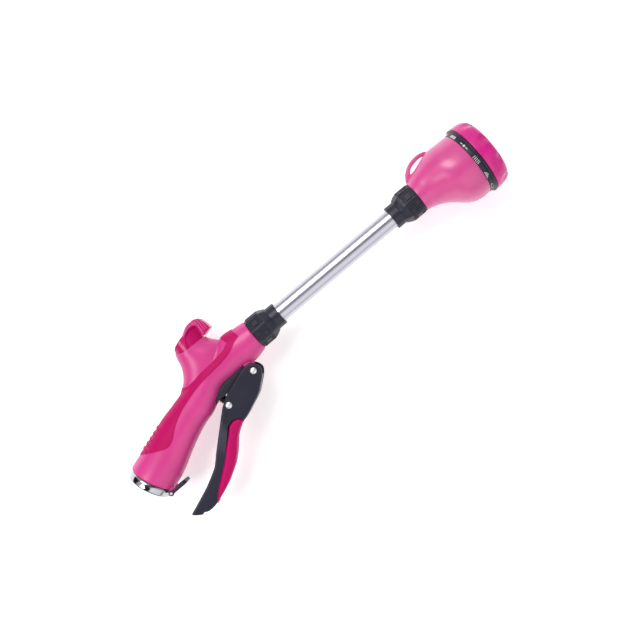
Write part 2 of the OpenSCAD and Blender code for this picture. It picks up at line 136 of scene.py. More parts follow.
# one for each slot of the record, a glossier pink for the bell and the knob's skin whose base colour is
# painted lighter than the body's pink as painted light, and the dial's own
MATS = {
    "pink_body": material("pink_body", (0.66, 0.050, 0.255), (0.60, 0.043, 0.235), 0.34, specular=0.42,
                          grain=0.10, grain_scale=1300, rough_var=0.05),
    # the same pink plastic as pink_body with a real glossier coat; its lighter base colour is painted light
    "pink_gloss_painted_light": material("pink_gloss_painted_light", (0.72, 0.078, 0.300), (0.67, 0.066, 0.276), 0.32, specular=0.5,
                           coat=0.45, coat_rough=0.26, grain=0.05, grain_scale=1300),
    "magenta_soft": material("magenta_soft", (0.50, 0.001, 0.115), (0.47, 0.001, 0.105), 0.50, grain=0.12,
                             grain_scale=1500, specular=0.14),
    "magenta_gloss": material("magenta_gloss", (0.54, 0.002, 0.130), (0.50, 0.002, 0.118), 0.30, grain=0.03,
                              specular=0.30, coat=0.15, coat_rough=0.15),
    "black_plastic": material("black_plastic", (0.025, 0.024, 0.042), (0.019, 0.019, 0.033), 0.36, grain=0.10,
                              grain_scale=1600, rough_var=0.08, specular=0.32),
    "dial_gloss": material("dial_gloss", (0.73, 0.022, 0.27), (0.69, 0.018, 0.25), 0.28, specular=0.35,
                           coat=0.15, coat_rough=0.12, grain=0.03),
    "chrome_ring": material("chrome_ring", (0.50, 0.51, 0.54), (0.46, 0.47, 0.50), 0.12, rough_var=0.03,
                            metallic=1.0, grain=0.01),
    "tube_metal": material("tube_metal", (0.57, 0.56, 0.63), (0.54, 0.53, 0.60), 0.31, rough_var=0.03,
                           metallic=1.0, grain=0.03, stretch=(0.05, 1, 1), grain_scale=2500),
    "rivet_steel": material("rivet_steel", (0.90, 0.90, 0.91), (0.84, 0.84, 0.85), 0.42, metallic=1.0),
    "spring_steel": material("spring_steel", (0.52, 0.53, 0.55), (0.44, 0.45, 0.47), 0.3, metallic=1.0),
    "valve_brass": material("valve_brass", (0.75, 0.53, 0.22), (0.62, 0.42, 0.16), 0.28, metallic=1.0),
    "seal_rubber": material("seal_rubber", (0.020, 0.020, 0.022), (0.014, 0.014, 0.016), 0.6, grain=0.15),
    "inner_plastic": material("inner_plastic", (0.80, 0.79, 0.77), (0.75, 0.74, 0.72), 0.45),
    "screen_steel": material("screen_steel", (0.62, 0.63, 0.65), (0.55, 0.56, 0.58), 0.3, metallic=1.0,
                             grain=0.2, grain_scale=3000),
}


# ---------------------------------------------------------------- mesh helpers
def piece(name, verts, faces, slot, body, *nodes, sharp=35):
    """A mesh from points in millimetres, put on its body; nodes are what it replaces."""
    mesh = bpy.data.meshes.new(name)
    mesh.from_pydata([Vector(v) * MM for v in verts], [], faces)
    mesh.validate()
    obj = bpy.data.objects.new(name, mesh)
    bpy.context.scene.collection.objects.link(obj)
    return dress(obj, slot, body, *nodes, sharp=sharp)


def dress(obj, slot, body, *nodes, sharp=35, look=None):
    """Puts a finished mesh on its body; look is the material where it isn't the slot's own."""
    recalc(obj)
    obj.data.materials.clear()
    obj.data.materials.append(MATS[look or slot])
    shade(obj, sharp)
    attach(obj, body)
    if nodes:
        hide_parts(*nodes)
    return obj


def merge_pieces(name, parts, slot, body):
    """One piece from a list of (points, faces)."""
    verts, faces = [], []
    for part_verts, part_faces in parts:
        at = len(verts)
        verts += part_verts
        faces += [tuple(at + i for i in face) for face in part_faces]
    return piece(name, verts, faces, slot, body)


def shifted(plate, dz):
    """The points and faces of a plate, moved along z."""
    verts, faces = plate
    return [(x, y, z + dz) for x, y, z in verts], faces


def recalc(obj):
    bm = bmesh.new()
    bm.from_mesh(obj.data)
    bmesh.ops.remove_doubles(bm, verts=bm.verts, dist=1e-6)
    bmesh.ops.recalc_face_normals(bm, faces=bm.faces)
    bm.to_mesh(obj.data)
    bm.free()


def shade(obj, sharp):
    """Smooth shading, with the edges over the given angle kept crisp."""
    for poly in obj.data.polygons:
        poly.use_smooth = True
    bm = bmesh.new()
    bm.from_mesh(obj.data)
    for edge in bm.edges:
        if len(edge.link_faces) == 2 and edge.calc_face_angle(0) > math.radians(sharp):
            edge.smooth = False
    bm.to_mesh(obj.data)
    bm.free()


def apply_modifiers(obj):
    bpy.context.view_layer.update()
    ready = bpy.data.meshes.new_from_object(obj.evaluated_get(bpy.context.evaluated_depsgraph_get()))
    obj.modifiers.clear()
    obj.data = ready
    return obj


def boolean(obj, cutters, how="DIFFERENCE"):
    """Cuts or joins with other objects, which are then deleted."""
    for cutter in cutters:
        mod = obj.modifiers.new("cut", "BOOLEAN")
        mod.operation = how
        mod.object = cutter
        mod.solver = "EXACT"
        apply_modifiers(obj)
        bpy.data.objects.remove(cutter, do_unlink=True)
    return obj


def tool(verts, faces):
    """A shape that is only used to cut or join."""
    mesh = bpy.data.meshes.new("tool")
    mesh.from_pydata([Vector(v) * MM for v in verts], [], faces)
    obj = bpy.data.objects.new("tool", mesh)
    bpy.context.scene.collection.objects.link(obj)
    recalc(obj)
    return obj


def curve_through(points, steps=6, closed=False):
    """Catmull-Rom points through rows of any length."""
    rows = [tuple(p) for p in points]
    n = len(rows)
    out = []
    for i in range(n if closed else n - 1):
        if closed:
            p = [rows[(i + k) % n] for k in (-1, 0, 1, 2)]
        else:
            p = [rows[min(max(i + k, 0), n - 1)] for k in (-1, 0, 1, 2)]
        for j in range(steps):
            t = j / steps
            out.append(tuple(0.5 * (2 * b + (c - a) * t + (2 * a - 5 * b + 4 * c - d) * t * t
                                    + (3 * b - a - 3 * c + d) * t ** 3) for a, b, c, d in zip(*p)))
    if not closed:
        out.append(rows[-1])
    return out


def round_corners(points, radius, steps=5):
    """A closed outline with each corner rounded off; radius is one number or one for each point."""
    out = []
    n = len(points)
    for i, p in enumerate(points):
        r = radius[i] if isinstance(radius, (list, tuple)) else radius
        a, b, c = Vector(points[i - 1]), Vector(p), Vector(points[(i + 1) % n])
        if r <= 0:
            out.append(tuple(b))
            continue
        u, v = (a - b), (c - b)
        cut = min(r, u.length * 0.48, v.length * 0.48)
        start, end = b + u.normalized() * cut, b + v.normalized() * cut
        for j in range(steps + 1):
            t = j / steps
            out.append(tuple(start * (1 - t) ** 2 + b * 2 * t * (1 - t) + end * t * t))
    return out


def grid_faces(rows, n, closed_rows=False):
    """Faces over rows of n points each, round the ring and along it."""
    faces = []
    for k in range(rows if closed_rows else rows - 1):
        for i in range(n):
            j = (i + 1) % n
            m = (k + 1) % rows
            faces.append((k * n + i, k * n + j, m * n + j, m * n + i))
    if not closed_rows:
        faces.append(tuple(reversed(range(n))))
        faces.append(tuple((rows - 1) * n + i for i in range(n)))
    return faces


def lathe_rows(profile, n, shape=None):
    """Points of a turned shape about +X: profile rows are (x, r), shape(x, r, angle) may change r."""
    verts = []
    for x, r in profile:
        for i in range(n):
            a = 2 * math.pi * i / n
            q = shape(x, r, a) if shape else r
            verts.append((x, q * math.cos(a), q * math.sin(a)))
    return verts


def stations(profile, longest, parts):
    """A closed profile with the steps over the given length split into equal parts."""
    out = []
    for (xa, ra), (xb, rb) in zip(profile, profile[1:] + profile[:1]):
        out.append((xa, ra))
        if abs(xb - xa) > longest:
            out += [(xa + (xb - xa) * t / parts, ra + (rb - ra) * t / parts) for t in range(1, parts)]
    return out


def lathe(name, profile, slot, body, *nodes, y=0.0, n=128, shape=None, place=None, sharp=35):
    """A turned piece with a closed profile of (x, r) rows, about the axis at height y."""
    verts = lathe_rows(profile, n, shape)
    move = place or (lambda p: (p[0], p[1] + y, p[2]))
    faces = grid_faces(len(profile), n, closed_rows=True)
    return piece(name, [move(v) for v in verts], faces, slot, body, *nodes, sharp=sharp)


def prism(outline, half, rounding=0.0, steps=4):
    """A plate from an XY outline, z from -half to half, with its edges rounded over."""
    rows = []
    area = sum(a[0] * b[1] - b[0] * a[1] for a, b in zip(outline, outline[1:] + outline[:1]))
    inward = 1 if area > 0 else -1
    n = len(outline)
    normals = []
    for i in range(n):
        a, c = Vector(outline[i - 1][:2]), Vector(outline[(i + 1) % n][:2])
        t = (c - a).normalized()
        normals.append(Vector((-t.y, t.x)) * inward)
    for z, up in ((-half, 1), (half, -1)):
        arc = [(rounding * (1 - math.sin(s)), rounding * (1 - math.cos(s)))
               for s in (math.pi / 2 * k / steps for k in range(steps + 1))] if rounding else [(0, 0)]
        if up < 0:
            arc = arc[::-1]
        for inset, lift in arc:
            rows.append([(p[0] + m.x * inset, p[1] + m.y * inset, z + up * lift)
                         for p, m in zip(outline, normals)])
    verts = [v for row in rows for v in row]
    return verts, grid_faces(len(rows), n)


def cylinder(center, axis, r, length, n=48):
    """A capped cylinder from center along axis, for cutting."""
    w = Vector(axis).normalized()
    u = w.orthogonal().normalized()
    v = w.cross(u)
    start = Vector(center)
    angles = [2 * math.pi * i / n for i in range(n)]
    verts = [tuple(start + w * h + (u * math.cos(a) + v * math.sin(a)) * r)
             for h in (0, length) for a in angles]
    return tool(verts, grid_faces(2, n))


def on_inlet(p):
    """From inlet coordinates (along the inlet axis, across, z) to the frame."""
    c, s = math.cos(INLET_TILT), math.sin(INLET_TILT)
    return (p[0] * c - p[1] * s, p[0] * s + p[1] * c, p[2])


def on_valve(along, across=0.0):
    """From distances along and across the valve stem, which starts at the push pin, to x and y."""
    return (PUSH[0] + VALVE[0] * along - VALVE[1] * across, PUSH[1] + VALVE[1] * along + VALVE[0] * across)


def fillet(points, radius, steps=4):
    """A lathe profile with rounded corners, kept at or outside the axis."""
    return [(x, max(r, 0.0)) for x, r in round_corners(points, radius, steps)]


# ---------------------------------------------------------------- handle
# rows of the handle: centre x, centre y, tilt, half height, half width, squareness
HANDLE = [(6.3, 3.4, 22, 18.2, 18.0, 2.0), (8.2, 3.9, 22, 19.0, 18.3, 2.0), (14, 5.5, 22, 19.3, 18.4, 2.05),
          (25.3, 9.4, 22, 18.7, 17.9, 2.1), (37.3, 14.4, 22, 17.4, 17.2, 2.15),
          (50.2, 19.7, 22, 16.4, 16.6, 2.2), (63.3, 23.8, 19, 15.2, 16.1, 2.2),
          (76.3, 27.2, 14, 15.0, 15.8, 2.2), (88, 31.8, 9, 13.8, 15.5, 2.2),
          (99, 36.6, 5, 12.9, 15.3, 2.2), (112, 38.2, 3, 13.8, 15.1, 2.2), (125, 40, 1, 15.8, 14.9, 2.15),
          (135, 38.9, 0, 15.9, 14.6, 2.1), (146.4, 39.5, 0, 13.9, 13.9, 2.0)]
# rows of the boss: height, lowest x, highest x, half width
BOSS = [(36, 62, 130, 11.5), (40, 67.6, 127.8, 13.2), (44, 72.8, 126.6, 14.2), (48, 77.3, 125.2, 14.6),
        (53, 81, 123, 14.8), (57.4, 83.2, 119.4, 14.8), (61, 84.3, 116.4, 14.8), (64.7, 85, 114.7, 14.8),
        (69.6, 86.4, 114.5, 14.6)]


def superellipse(a, power):
    """A point of a unit oval, squarer than a circle where the power is over 2."""
    c, s = math.cos(a), math.sin(a)
    return (math.copysign(abs(c) ** (2 / power), c), math.copysign(abs(s) ** (2 / power), s))


AROUND = 128             # points round each ring of the handle and the boss
HANDLE_STEPS = 8         # rings between two rows of the handle


def raw_handle():
    rings = curve_through(HANDLE, HANDLE_STEPS)
    verts = []
    for cx, cy, tilt, h, w, power in rings:
        t = math.radians(tilt)
        for i in range(AROUND):
            c, s = superellipse(2 * math.pi * i / AROUND, power)
            verts.append((cx - h * c * math.sin(t), cy + h * c * math.cos(t), w * s))
    return tool(verts, grid_faces(len(rings), AROUND))


def raw_boss():
    rings = curve_through(BOSS, 5)
    verts = []
    for y, x0, x1, w in rings:
        for i in range(AROUND):
            a = 2 * math.pi * i / AROUND
            verts.append(((x0 + x1) / 2 + (x1 - x0) / 2 * math.cos(a), y, w * math.sin(a)))
    return tool(verts, grid_faces(len(rings), AROUND))


def smooth_mesh(obj, times):
    mod = obj.modifiers.new("soften", "SMOOTH")
    mod.iterations = times
    mod.factor = 0.5
    return apply_modifiers(obj)


def remesh(obj, size):
    mod = obj.modifiers.new("remesh", "REMESH")
    mod.mode = "VOXEL"
    mod.voxel_size = size * MM
    return apply_modifiers(obj)


def make_handle():
    """The moulded handle, before its bores: the grip and the boss run into each other."""
    shell = boolean(raw_handle(), [raw_boss()], "UNION")
    remesh(shell, 0.8)
    smooth_mesh(shell, 6)
    return shell


handle_shell = make_handle()


def grown_copy(obj, by):
    """A copy whose surface stands the given millimetres outside (or inside) the first."""
    mesh = obj.data.copy()
    normals = [v.normal.copy() for v in mesh.vertices]
    for v, normal in zip(mesh.vertices, normals):
        v.co += normal * by * MM
    copy = bpy.data.objects.new("tool", mesh)
    bpy.context.scene.collection.objects.link(copy)
    return copy


pad_skin = grown_copy(handle_shell, 0.45)
pad_floor = remesh(grown_copy(handle_shell, -1.3), 0.8)


def hood_cutter():
    """Everything over the level rim of the boss, apart from the hood behind the knob."""
    outline = round_corners([(95.2, 64.7), (135, 64.7), (135, 80), (75, 80), (75, 69.2), (86.8, 69.2)],
                            [1.5, 0, 0, 0, 0, 1.5])
    return tool(*prism(outline, 30))


def make_bores(shell):
    """Cuts the rim, the knob's pocket, the inlet, the flat ends and the recess of the valve stem."""
    axis = on_inlet((1, 0, 0))
    cuts = [hood_cutter(),
            cylinder((KNOB_X, 60, 0), (0, 1, 0), 13.5, 30, 96),
            cylinder((KNOB_X, 45, 0), (0, 1, 0), 4.85, 30),
            cylinder((-9.3, -3.7, 0), axis, 40, 16.9, 64),
            cylinder((0, 0, 0), axis, 15.02, 22.2, 96),
            cylinder((0, 0, 0), axis, 7.5, 60),
            cylinder((146.4, TUBE_Y, 0), (1, 0, 0), 30, 20, 32),
            cylinder((97, -0.2, 0), (*VALVE, 0), 8, 21, 64)]
    return boolean(shell, cuts)


make_bores(handle_shell)
handle_shell.name = "handle_shell"
dress(handle_shell, "pink_body", "handle", "handle_body", sharp=32)

# lug that carries the trigger's pivot, between the cheeks
lug = round_corners([(124, 30), (123.4, 16.2), (126, 13.1), (129.8, 13.1), (131.6, 16.2), (130.2, 24),
                     (130.2, 30)], [0, 3.5, 3.5, 3.5, 3.5, 1, 0])
piece("trigger_lug", *prism(lug, 8, 0.6), "pink_body", "handle")

# webs behind the trigger's cheeks, with a row of small teeth on each
WEB = [(87, 19), (89, 17), (99, 17), (102, 16.6), (110, 18.8), (118, 20.6), (123, 21.5), (123, 28), (87, 28)]
WEB_Z, TOOTH_Z = 7.2, 8.2
TEETH, FIRST_TOOTH, TOOTH_PITCH = 13, (90.5, 19.9), 2.45


def tooth(k):
    x = FIRST_TOOTH[0] + TOOTH_PITCH * k
    y = FIRST_TOOTH[1] + 0.145 * (x - FIRST_TOOTH[0])
    corners = [(x - 0.6, y - 1.6), (x + 0.6, y - 1.4), (x + 0.9, y + 2.2), (x - 0.3, y + 2.0)]
    return prism(round_corners(corners, 0.3, 3), 0.22, 0.1, 2)


for name, side in BOTH_SIDES:
    web = shifted(prism(round_corners(WEB, 0.8), 1.0, 0.2), WEB_Z * side)
    piece("trigger_web_" + name, *web, "black_plastic", "handle")
    teeth = [shifted(tooth(k), TOOTH_Z * side) for k in range(TEETH)]
    merge_pieces("trigger_web_teeth_" + name, teeth, "black_plastic", "handle")

# ears that carry the latch's pin
for name, side in BOTH_SIDES:
    ear = round_corners([(LATCH[0] - 2.1, LATCH[1] - 1.6), (LATCH[0] + 1.6, LATCH[1] - 2.0), (21, -8),
                         (14.5, -6)], [1.8, 1.8, 0, 0])
    piece("latch_ear_" + name, *shifted(prism(ear, 1.8, 0.4), 6 * side), "pink_body", "handle")

# ---------------------------------------------------------------- palm pad
PAD_LOW = [(12.5, 24.8), (15.5, 23.6), (20.1, 21.4), (28.2, 17.6), (33.5, 15.1), (38.6, 14.6), (44.3, 17.5),
           (49.6, 21.9), (56.2, 26.2), (65.3, 30.6), (74, 33.3), (82.7, 35.7), (92.8, 37.2), (104.7, 38.2),
           (116.4, 39.4), (125.3, 42.0), (131.5, 45.2), (137.1, 46.9)]
PAD_HIGH = [(133.6, 58), (122.2, 58), (126.2, 48.9), (120, 46.0), (112.5, 44.9), (103.4, 43.9), (94, 43.2),
            (85.4, 42.3), (78.5, 41.8), (72, 45), (60, 50), (12, 50)]


def make_pad():
    """The skin between two offsets of the handle, inside the pad's outline."""
    edge = curve_through(PAD_LOW, 4) + PAD_HIGH[:2] + curve_through(PAD_HIGH[2:9], 4) + PAD_HIGH[9:]
    outline = tool(*prism(edge, 40))
    boolean(pad_skin, [outline], "INTERSECT")
    return boolean(pad_skin, [pad_floor])


pad = make_pad()
pad.name = "palm_pad_skin"
dress(pad, "magenta_soft", "handle", "palm_pad", sharp=30)

# low ribs across the back of the palm pad
RIBS = 5
FIRST_RING, RING_STEP = 24, 3     # the handle's rings that carry the ribs
RIB_SPAN = math.radians(42)
RIB_HIGH, RIB_HALF = 0.75, 1.1
for k in range(RIBS):
    cx, cy, tilt, h, w, power = curve_through(HANDLE, HANDLE_STEPS)[FIRST_RING + RING_STEP * k]
    t = math.radians(tilt)
    rib = []
    steps = 24
    for i in range(steps + 1):
        a = -RIB_SPAN + 2 * RIB_SPAN * i / steps
        c, s = superellipse(a, power)
        fade = math.cos(a / RIB_SPAN * math.pi / 2) ** 0.35
        for j in range(9):
            b = math.pi * j / 8
            out = 0.35 + RIB_HIGH * math.sin(b) * fade
            up = (h + out) * c
            along = RIB_HALF * math.cos(b)
            rib.append((cx - up * math.sin(t) + along * math.cos(t),
                        cy + up * math.cos(t) + along * math.sin(t), (w + out) * s))
    piece("palm_rib_%d" % k, rib, grid_faces(steps + 1, 9), "magenta_soft", "handle")

# ---------------------------------------------------------------- inlet ring, with the thread as ridges
THREAD_PITCH = 2.2
thread = []
x = 0.9
while x < 13:
    thread += [(x, 13.3), (x + 0.5, 12.35), (x + 1.1, 12.35), (x + 1.6, 13.3)]
    x += THREAD_PITCH
ring = fillet([(0, 13.4), (0, 18.45), (5.6, 18.45), (6.9, 17.6), (6.9, 15.0), (22, 15.0), (22, 9.0),
               (18, 9.0), (18, 12.7), (14, 12.7), (14, 13.3)],
              [0.4, 2.2, 0.9, 0.3, 0.1, 0.3, 0.3, 0.1, 0.1, 0.1, 0.1], 6) + thread[::-1]
lathe("inlet_ring_metal", ring, "chrome_ring", "handle", "inlet_ring", n=160, place=on_inlet, sharp=40)


# ---------------------------------------------------------------- nuts
NUT_SIDES = 8
SIDE = 2 * math.pi / NUT_SIDES
NUT_R = 13.7


def nut_shape(turn):
    """Radius of a rounded eight-sided nut that runs out into a round collar."""
    def radius(x, r, a):
        off = ((a - turn + SIDE / 2) % SIDE) - SIDE / 2
        flat = math.cos(SIDE / 2) / math.cos(SIDE / 2 - abs(off))
        flat = min(flat, 0.985)
        strength = min(max((r - 10.2) / 3.0, 0.12), 1.0)
        return r * (1 - strength + strength * flat) if r > 9.9 else r
    return radius


NUT = [(0, 9.2), (0, NUT_R), (14, NUT_R), (18.9, 11.0), (19.2, 10.2), (27, 10.2), (27, 8.3), (24.3, 8.3),
       (13.9, 9.75), (13.9, 10.3), (1, 10.3), (1, 9.2)]
NUT_ROUND = [0.1, 0.7, 1.6, 0.9, 0.4, 0.6, 0.2, 0.1, 0.1, 0.1, 0.1, 0.1]


def nut_block(x, facing, side_angle, block):
    """A small raised block with a chamfer, on one side of a nut."""
    start, length, half_wide, high, shift = block
    n = Vector((0, math.cos(side_angle), math.sin(side_angle)))
    t = Vector((0, -math.sin(side_angle), math.cos(side_angle)))
    foot = Vector((x, TUBE_Y, 0)) + n * NUT_R * math.cos(SIDE / 2) + t * shift
    corners = []
    for up, inset in ((-0.5, 0), (high * 0.4, 0), (high, 0.12)):
        near, far, half = start + inset, start + length - inset, half_wide - inset
        for along, across in ((near, -half), (far, -half), (far, half), (near, half)):
            corners.append(tuple(foot + Vector((facing * along, 0, 0)) + n * up + t * across))
    return corners, grid_faces(3, 4)


# blocks on a nut's sides: start, length, half width, height, shift round the nut
GRIP_BARS = [(1.1, 11.6, 0.52, 0.62, 1.95 * i) for i in range(-2, 3)]
ONE_CATCH = [(4.6, 4.8, 2.6, 0.95, 0.0)]
TWO_CATCHES = [(2.0, 3.2, 1.5, 0.95, -1.9), (8.4, 3.2, 1.5, 0.95, 1.9)]


def make_nut(name, x, facing, turn):
    """One nut with bars and catches on its sides; facing is 1 when its collar points to the head."""
    profile = stations(fillet(NUT, NUT_ROUND, 5), 3, 4)
    verts = [(x + facing * p[0], TUBE_Y + p[1], p[2]) for p in lathe_rows(profile, 192, nut_shape(turn))]
    piece(name + "_shell", verts, grid_faces(len(profile), 192, closed_rows=True), "black_plastic", "handle",
          name, sharp=30)
    blocks = []
    for k in range(NUT_SIDES):
        for block in GRIP_BARS + (ONE_CATCH if k % 2 else TWO_CATCHES):
            blocks.append(nut_block(x, facing, turn + SIDE * (k + 0.5), block))
    merge_pieces(name + "_grip", blocks, "black_plastic", "handle")


make_nut("lower_nut", 146.5, 1, math.radians(84))
make_nut("upper_nut", 320.4, -1, math.radians(91))

# ---------------------------------------------------------------- tube
tube = fillet([(149.2, 8.0), (317.8, 8.0), (317.8, 7.0), (149.2, 7.0)], 0.2, 3)
lathe("tube_metal_skin", stations(tube, 20, 12), "tube_metal", "handle", "wand_tube", y=TUBE_Y)

# ---------------------------------------------------------------- bell head
# rows of the bell: x, height of the ring's centre, radius
BELL = [(320.5, 39.8, 13.75), (323.5, 40.5, 14.6), (327.6, 40.9, 16.2), (331.7, 40.8, 17.7),
        (335.8, 40.5, 19.5), (339.9, 39.9, 21.6), (344, 38.8, 23.8), (348.1, 37.3, 26.0), (352.2, 35.9, 27.7),
        (356.3, 34.8, 28.6), (360.4, 34.2, 29.0), (364.5, 34, 29.1), (369.8, 34, 28.8)]
# outer edge of the hanging loop, then the eye in it
LOOP_FOOT = [(321.2, 47), (321.2, 54.4)]
LOOP_BACK = [(322.2, 56.2), (325, 60.2), (328.5, 63.1), (332, 64.9), (335.8, 65.9), (340, 66.4), (344, 66.2),
             (348, 65.2)]
LOOP_END = [(352, 62), (345, 50)]
LOOP_EYE = [(328.2, 57.6), (330.6, 60.2), (333.4, 61.7), (337, 62.6), (341.7, 63.1), (346, 62.7),
            (341.5, 61.0), (336.3, 59.2), (331.9, 57.8)]


def make_bell():
    n = 160
    rows = curve_through(BELL, 6)
    # the rim is turned in a little
    rows[-1] = (369.8, HEAD_Y, 28.5)
    rows.insert(-1, (369.45, HEAD_Y, 28.78))
    verts = [(x, y + r * math.cos(2 * math.pi * i / n), r * math.sin(2 * math.pi * i / n))
             for x, y, r in rows for i in range(n)]
    bell = tool(verts, grid_faces(len(rows), n))
    loop = tool(*prism(LOOP_FOOT + curve_through(LOOP_BACK, 5) + LOOP_END, 3.2, 1.1))
    boolean(bell, [loop], "UNION")
    eye = tool(*prism(curve_through(LOOP_EYE, 4, closed=True), 12))
    cuts = [eye, cylinder((310, TUBE_Y, 0), (1, 0, 0), 6, 36),
            cylinder((356, HEAD_Y, 0), (1, 0, 0), 26, 30, 128),
            cylinder((345, HEAD_Y, 0), (1, 0, 0), 18, 12, 96)]
    return boolean(bell, cuts)


bell = make_bell()
bell.name = "bell_shell"
# the bell is drawn in the glossier pink, whose lighter base colour is painted light
dress(bell, "pink_body", "handle", "head_bell", sharp=32, look="pink_gloss_painted_light")

# spigots inside the nuts, which the tube plugs into
BELL_SPIGOT = [(307, 9.4), (307, 10.2), (322, 10.2), (322, 8.05), (309.6, 8.05), (309.6, 9.4)]
HANDLE_SPIGOT = [(144, 8.05), (144, 10.2), (160, 10.2), (160, 9.4), (157.4, 9.4), (157.4, 8.05)]
lathe("bell_spigot", fillet(BELL_SPIGOT, 0.15, 3), "pink_body", "handle", y=TUBE_Y, n=96)
lathe("handle_spigot", fillet(HANDLE_SPIGOT, 0.15, 3), "pink_body", "handle", y=TUBE_Y, n=96)

# ---------------------------------------------------------------- index band and its pictograms
BAND_X = 371.55          # middle of the band that carries the marks
BAND_R = 29.0
band = fillet([(369.85, 25.1), (369.85, 28.9), (373.1, 29.0), (373.6, 31.15), (375.4, 31.15), (375.55, 25.1)],
              [0.2, 0.3, 0.35, 0.4, 0.5, 0.2], 5)
lathe("index_band_ring", band, "black_plastic", "handle", "index_band", y=HEAD_Y, n=192)


def mark(points, angle):
    """One raised dash or dot: points are (along x, round the band) in millimetres."""
    verts = []
    for r in (BAND_R - 0.1, BAND_R + 0.22):
        for du, dv in points:
            a = angle + dv / BAND_R
            verts.append((BAND_X + du, HEAD_Y + r * math.cos(a), r * math.sin(a)))
    return verts, grid_faces(2, len(points))


def dot(u, v, r, n=14):
    return [(u + r * math.cos(2 * math.pi * i / n), v + r * math.sin(2 * math.pi * i / n)) for i in range(n)]


def bar(u, v, half_u, half_v):
    return [(u - half_u, v - half_v), (u + half_u, v - half_v), (u + half_u, v + half_v),
            (u - half_u, v + half_v)]


def ring_of_dots(count, u, v, r):
    return [dot(u * math.cos(2 * math.pi * i / count), v * math.sin(2 * math.pi * i / count), r)
            for i in range(count)]


PICTOGRAMS = [
    ring_of_dots(8, 1.05, 2.9, 0.36) + [dot(0, 0, 0.5)],                                    # shower
    [bar(0, v, 1.25, 0.28) for v in (-3.3, -2.2, -1.1, 0, 1.1, 2.2, 3.3)],                  # flat
    [dot(0, 0, 1.0), bar(0, -3, 0.3, 1.2), bar(0, 3, 0.3, 1.2)],                            # centre
    [dot(u, v, 0.38) for u in (-1.0, 0, 1.0) for v in (-3, -1.5, 0, 1.5, 3)],               # rain
    [bar(-1.0 + 0.5 * k, 0, 0.13, 3.4 - 0.6 * k) for k in range(5)],                        # cone
    ring_of_dots(12, 1.15, 3.4, 0.3),                                                       # ring
    [bar(0.55 * (-1) ** k, -3.2 + 0.92 * k, 0.7, 0.22) for k in range(8)],                  # mist
    [dot(0, v, 0.6) for v in (-3, -1.5, 0, 1.5, 3)],                                        # soaker
]
PLACES = 12              # places for a pictogram round the band
marks = [mark(points, math.radians(360 / PLACES * k + 5))
         for k in range(PLACES) for points in PICTOGRAMS[k % len(PICTOGRAMS)]]
merge_pieces("index_marks", marks, "inner_plastic", "handle")

# ---------------------------------------------------------------- dial
LOBES = 9


def dial_shape(x, r, a):
    """Shallow scallops round the dial, deepest at its front edge."""
    if r < 26.5:
        return r
    run = min(max((x - 379) / 9, 0), 1)
    scallop = max(0.0, math.cos(a * LOBES + 0.6)) ** 1.5
    return r - 1.6 * run * scallop


dial_profile = fillet([(375.95, 24.7), (375.95, 31.0), (381.5, 30.9), (386.8, 29.5), (389.5, 27.2),
                       (389.5, 24.7)], [0.3, 0.7, 3.5, 3.0, 1.4, 0.3], 8)
dial = lathe("dial_grip", stations(dial_profile, 1.2, 4), "magenta_gloss", "dial", "dial_ring", y=HEAD_Y,
             n=320, shape=dial_shape)
dial.data.materials[0] = MATS["dial_gloss"]

# ---------------------------------------------------------------- flow knob
# outline of the knob from the side, with the radius of each corner
KNOB = [(87.0, 60.4), (113.6, 60.4), (113.6, 65.1), (123.2, 67.3), (122.4, 72.5), (121.2, 77.4),
        (118.4, 80.5), (114, 81.2), (109.5, 80.3), (106, 78.4), (102.9, 76.1), (95.5, 74.3), (90.6, 72.7),
        (87.6, 70.6)]
KNOB_ROUND = [0.5, 0.3, 0.3, 0.6, 1.5, 2.5, 4, 4, 3, 3, 2, 3, 3, 1.5]
KNOB_R = 13.15
# hollow in each side of the knob, and the edge of the paler skin over the tab
SCOOP = [(98.8, 64), (100, 67.5), (101.6, 71.4), (104, 74.1), (106.7, 75.6), (109.6, 76.6), (112, 76.6),
         (113.8, 75.4), (114.6, 72.7), (114.9, 69.7), (115, 64)]
SCOOP_RIM = [(102.6, 74.4), (104.4, 75.4), (106.7, 76.6), (109.6, 77.6), (112.4, 77.6), (114.3, 76.8)]
TAB_REST = [(115.3, 76), (115.3, 90), (102, 90)]
TAB_X, TAB_HALF = 114.5, 6.9
# x and top of each rib over the tab, and the height at which they all start
TAB_RIBS = ((116.7, 80.5), (118.7, 79.7), (120.7, 77.4))
RIB_FOOT = 68.2


def knob_plan():
    """The knob from above: its round body, waisted into the tab."""
    angles = [math.radians(40 + 280 * i / 70) for i in range(71)]
    round_part = [(KNOB_X + KNOB_R * math.cos(a), KNOB_R * math.sin(a)) for a in angles]
    tab = [(TAB_X, -TAB_HALF), (119, -6.6), (124.6, -6.2), (124.6, 6.2), (119, 6.6), (TAB_X, TAB_HALF)]
    return round_part + round_corners(tab, [3, 2, 3.5, 3.5, 2, 3])


def tab_rib(x, top):
    """A strap that runs up one side of the tab, over the top and down the other side."""
    half = TAB_HALF - 0.07 * (x - TAB_X) + 0.3
    outer = round_corners([(-half, RIB_FOOT), (-half, top + 0.35), (half, top + 0.35), (half, RIB_FOOT)],
                          [0.2, 2.2, 2.2, 0.2], 5)
    inner = [(z * 0.84, (y - RIB_FOOT) * 0.94 + RIB_FOOT) for z, y in outer]
    n = len(outer)
    verts = [(x + dx, y, z) for dx, line in ((-0.5, outer), (0.5, outer), (0.5, inner), (-0.5, inner))
             for z, y in line]
    faces = []
    for k in range(4):
        m = (k + 1) % 4
        faces += [(k * n + i, k * n + i + 1, m * n + i + 1, m * n + i) for i in range(n - 1)]
    return verts, faces + [(0, n, 2 * n, 3 * n), (n - 1, 4 * n - 1, 3 * n - 1, 2 * n - 1)]


